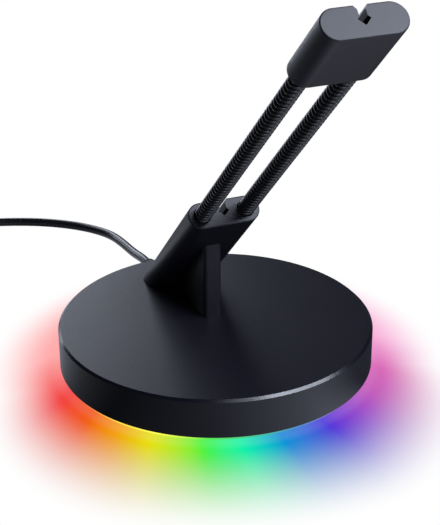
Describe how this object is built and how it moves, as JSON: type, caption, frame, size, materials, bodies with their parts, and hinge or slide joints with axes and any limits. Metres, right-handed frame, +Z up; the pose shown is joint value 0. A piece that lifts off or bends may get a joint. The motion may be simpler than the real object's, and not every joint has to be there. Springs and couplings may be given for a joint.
{
  "type": "mouse bungee",
  "caption": "Lit mouse bungee: weighted round base with a light band, leaning neck, twin spring arms and a slotted head that holds a mouse cable off the desk.",
  "frame": {"origin": "on the desk under the middle of the round base", "axes": "+Z up, the arm leans towards -Y, the lead leaves at +Y"},
  "size_m": [0.1619, 0.2271, 0.1387],
  "materials": {
    "base_plastic": "fine matte moulded texture, black",
    "arm_plastic": "matte moulded, black",
    "spring_wire": "black satin coating on steel wire",
    "ballast_steel": "plain cut steel",
    "screw_steel": "zinc plated",
    "diffuser": "milky clear, lit from inside",
    "pad_rubber": "matte",
    "board_green": "solder mask",
    "led_white": "white package",
    "chip_black": "moulded package",
    "header_cream": "plain",
    "lead_jacket": "satin jacket",
    "tie_fabric": "woven strap",
    "plug_plastic": "matte overmould",
    "plug_metal": "nickel plated",
    "tongue_white": "plain",
    "contact_gold": "gold plated"
  },
  "bodies": {
    "base": {"base_cover": "base_plastic", "base_weight": "ballast_steel", "bottom_plate": "base_plastic", "light_ring": "diffuser", "foot_pad": "pad_rubber", "led_board": "board_green", "leds": "led_white", "controller_chip": "chip_black", "lead_header": "header_cream", "lead_inner": "lead_jacket", "strain_relief": "pad_rubber", "plate_screws": "screw_steel", "board_screws": "screw_steel", "neck_screws": "screw_steel", "neck": "arm_plastic", "lead_run": "lead_jacket", "lead_coil": "lead_jacket", "lead_tie": "tie_fabric", "lead_tail": "lead_jacket", "plug_body": "plug_plastic", "plug_shell": "plug_metal", "plug_tongue": "tongue_white", "plug_contacts": "contact_gold"},
    "springs": {"spring_left": "spring_wire", "spring_right": "spring_wire"},
    "head": {"head": "arm_plastic"}
  },
  "joints": [
    {"name": "arm_flex", "type": "hinge", "parent": "base", "child": "springs", "pos_m": [0, -0.02399, 0.07104], "axis": [1, 0, 0], "range_deg": [-15, 25], "stiffness_Nm_per_rad": 0.25, "springref_deg": -1.21, "deforming": ["spring_left", "spring_right"]},
    {"name": "arm_sway", "type": "slide", "parent": "springs", "child": "head", "axis": [1, 0, 0], "range_m": [-0.01, 0.01], "stiffness_N_per_m": 60, "deforming": ["spring_left", "spring_right"]}
  ]
}
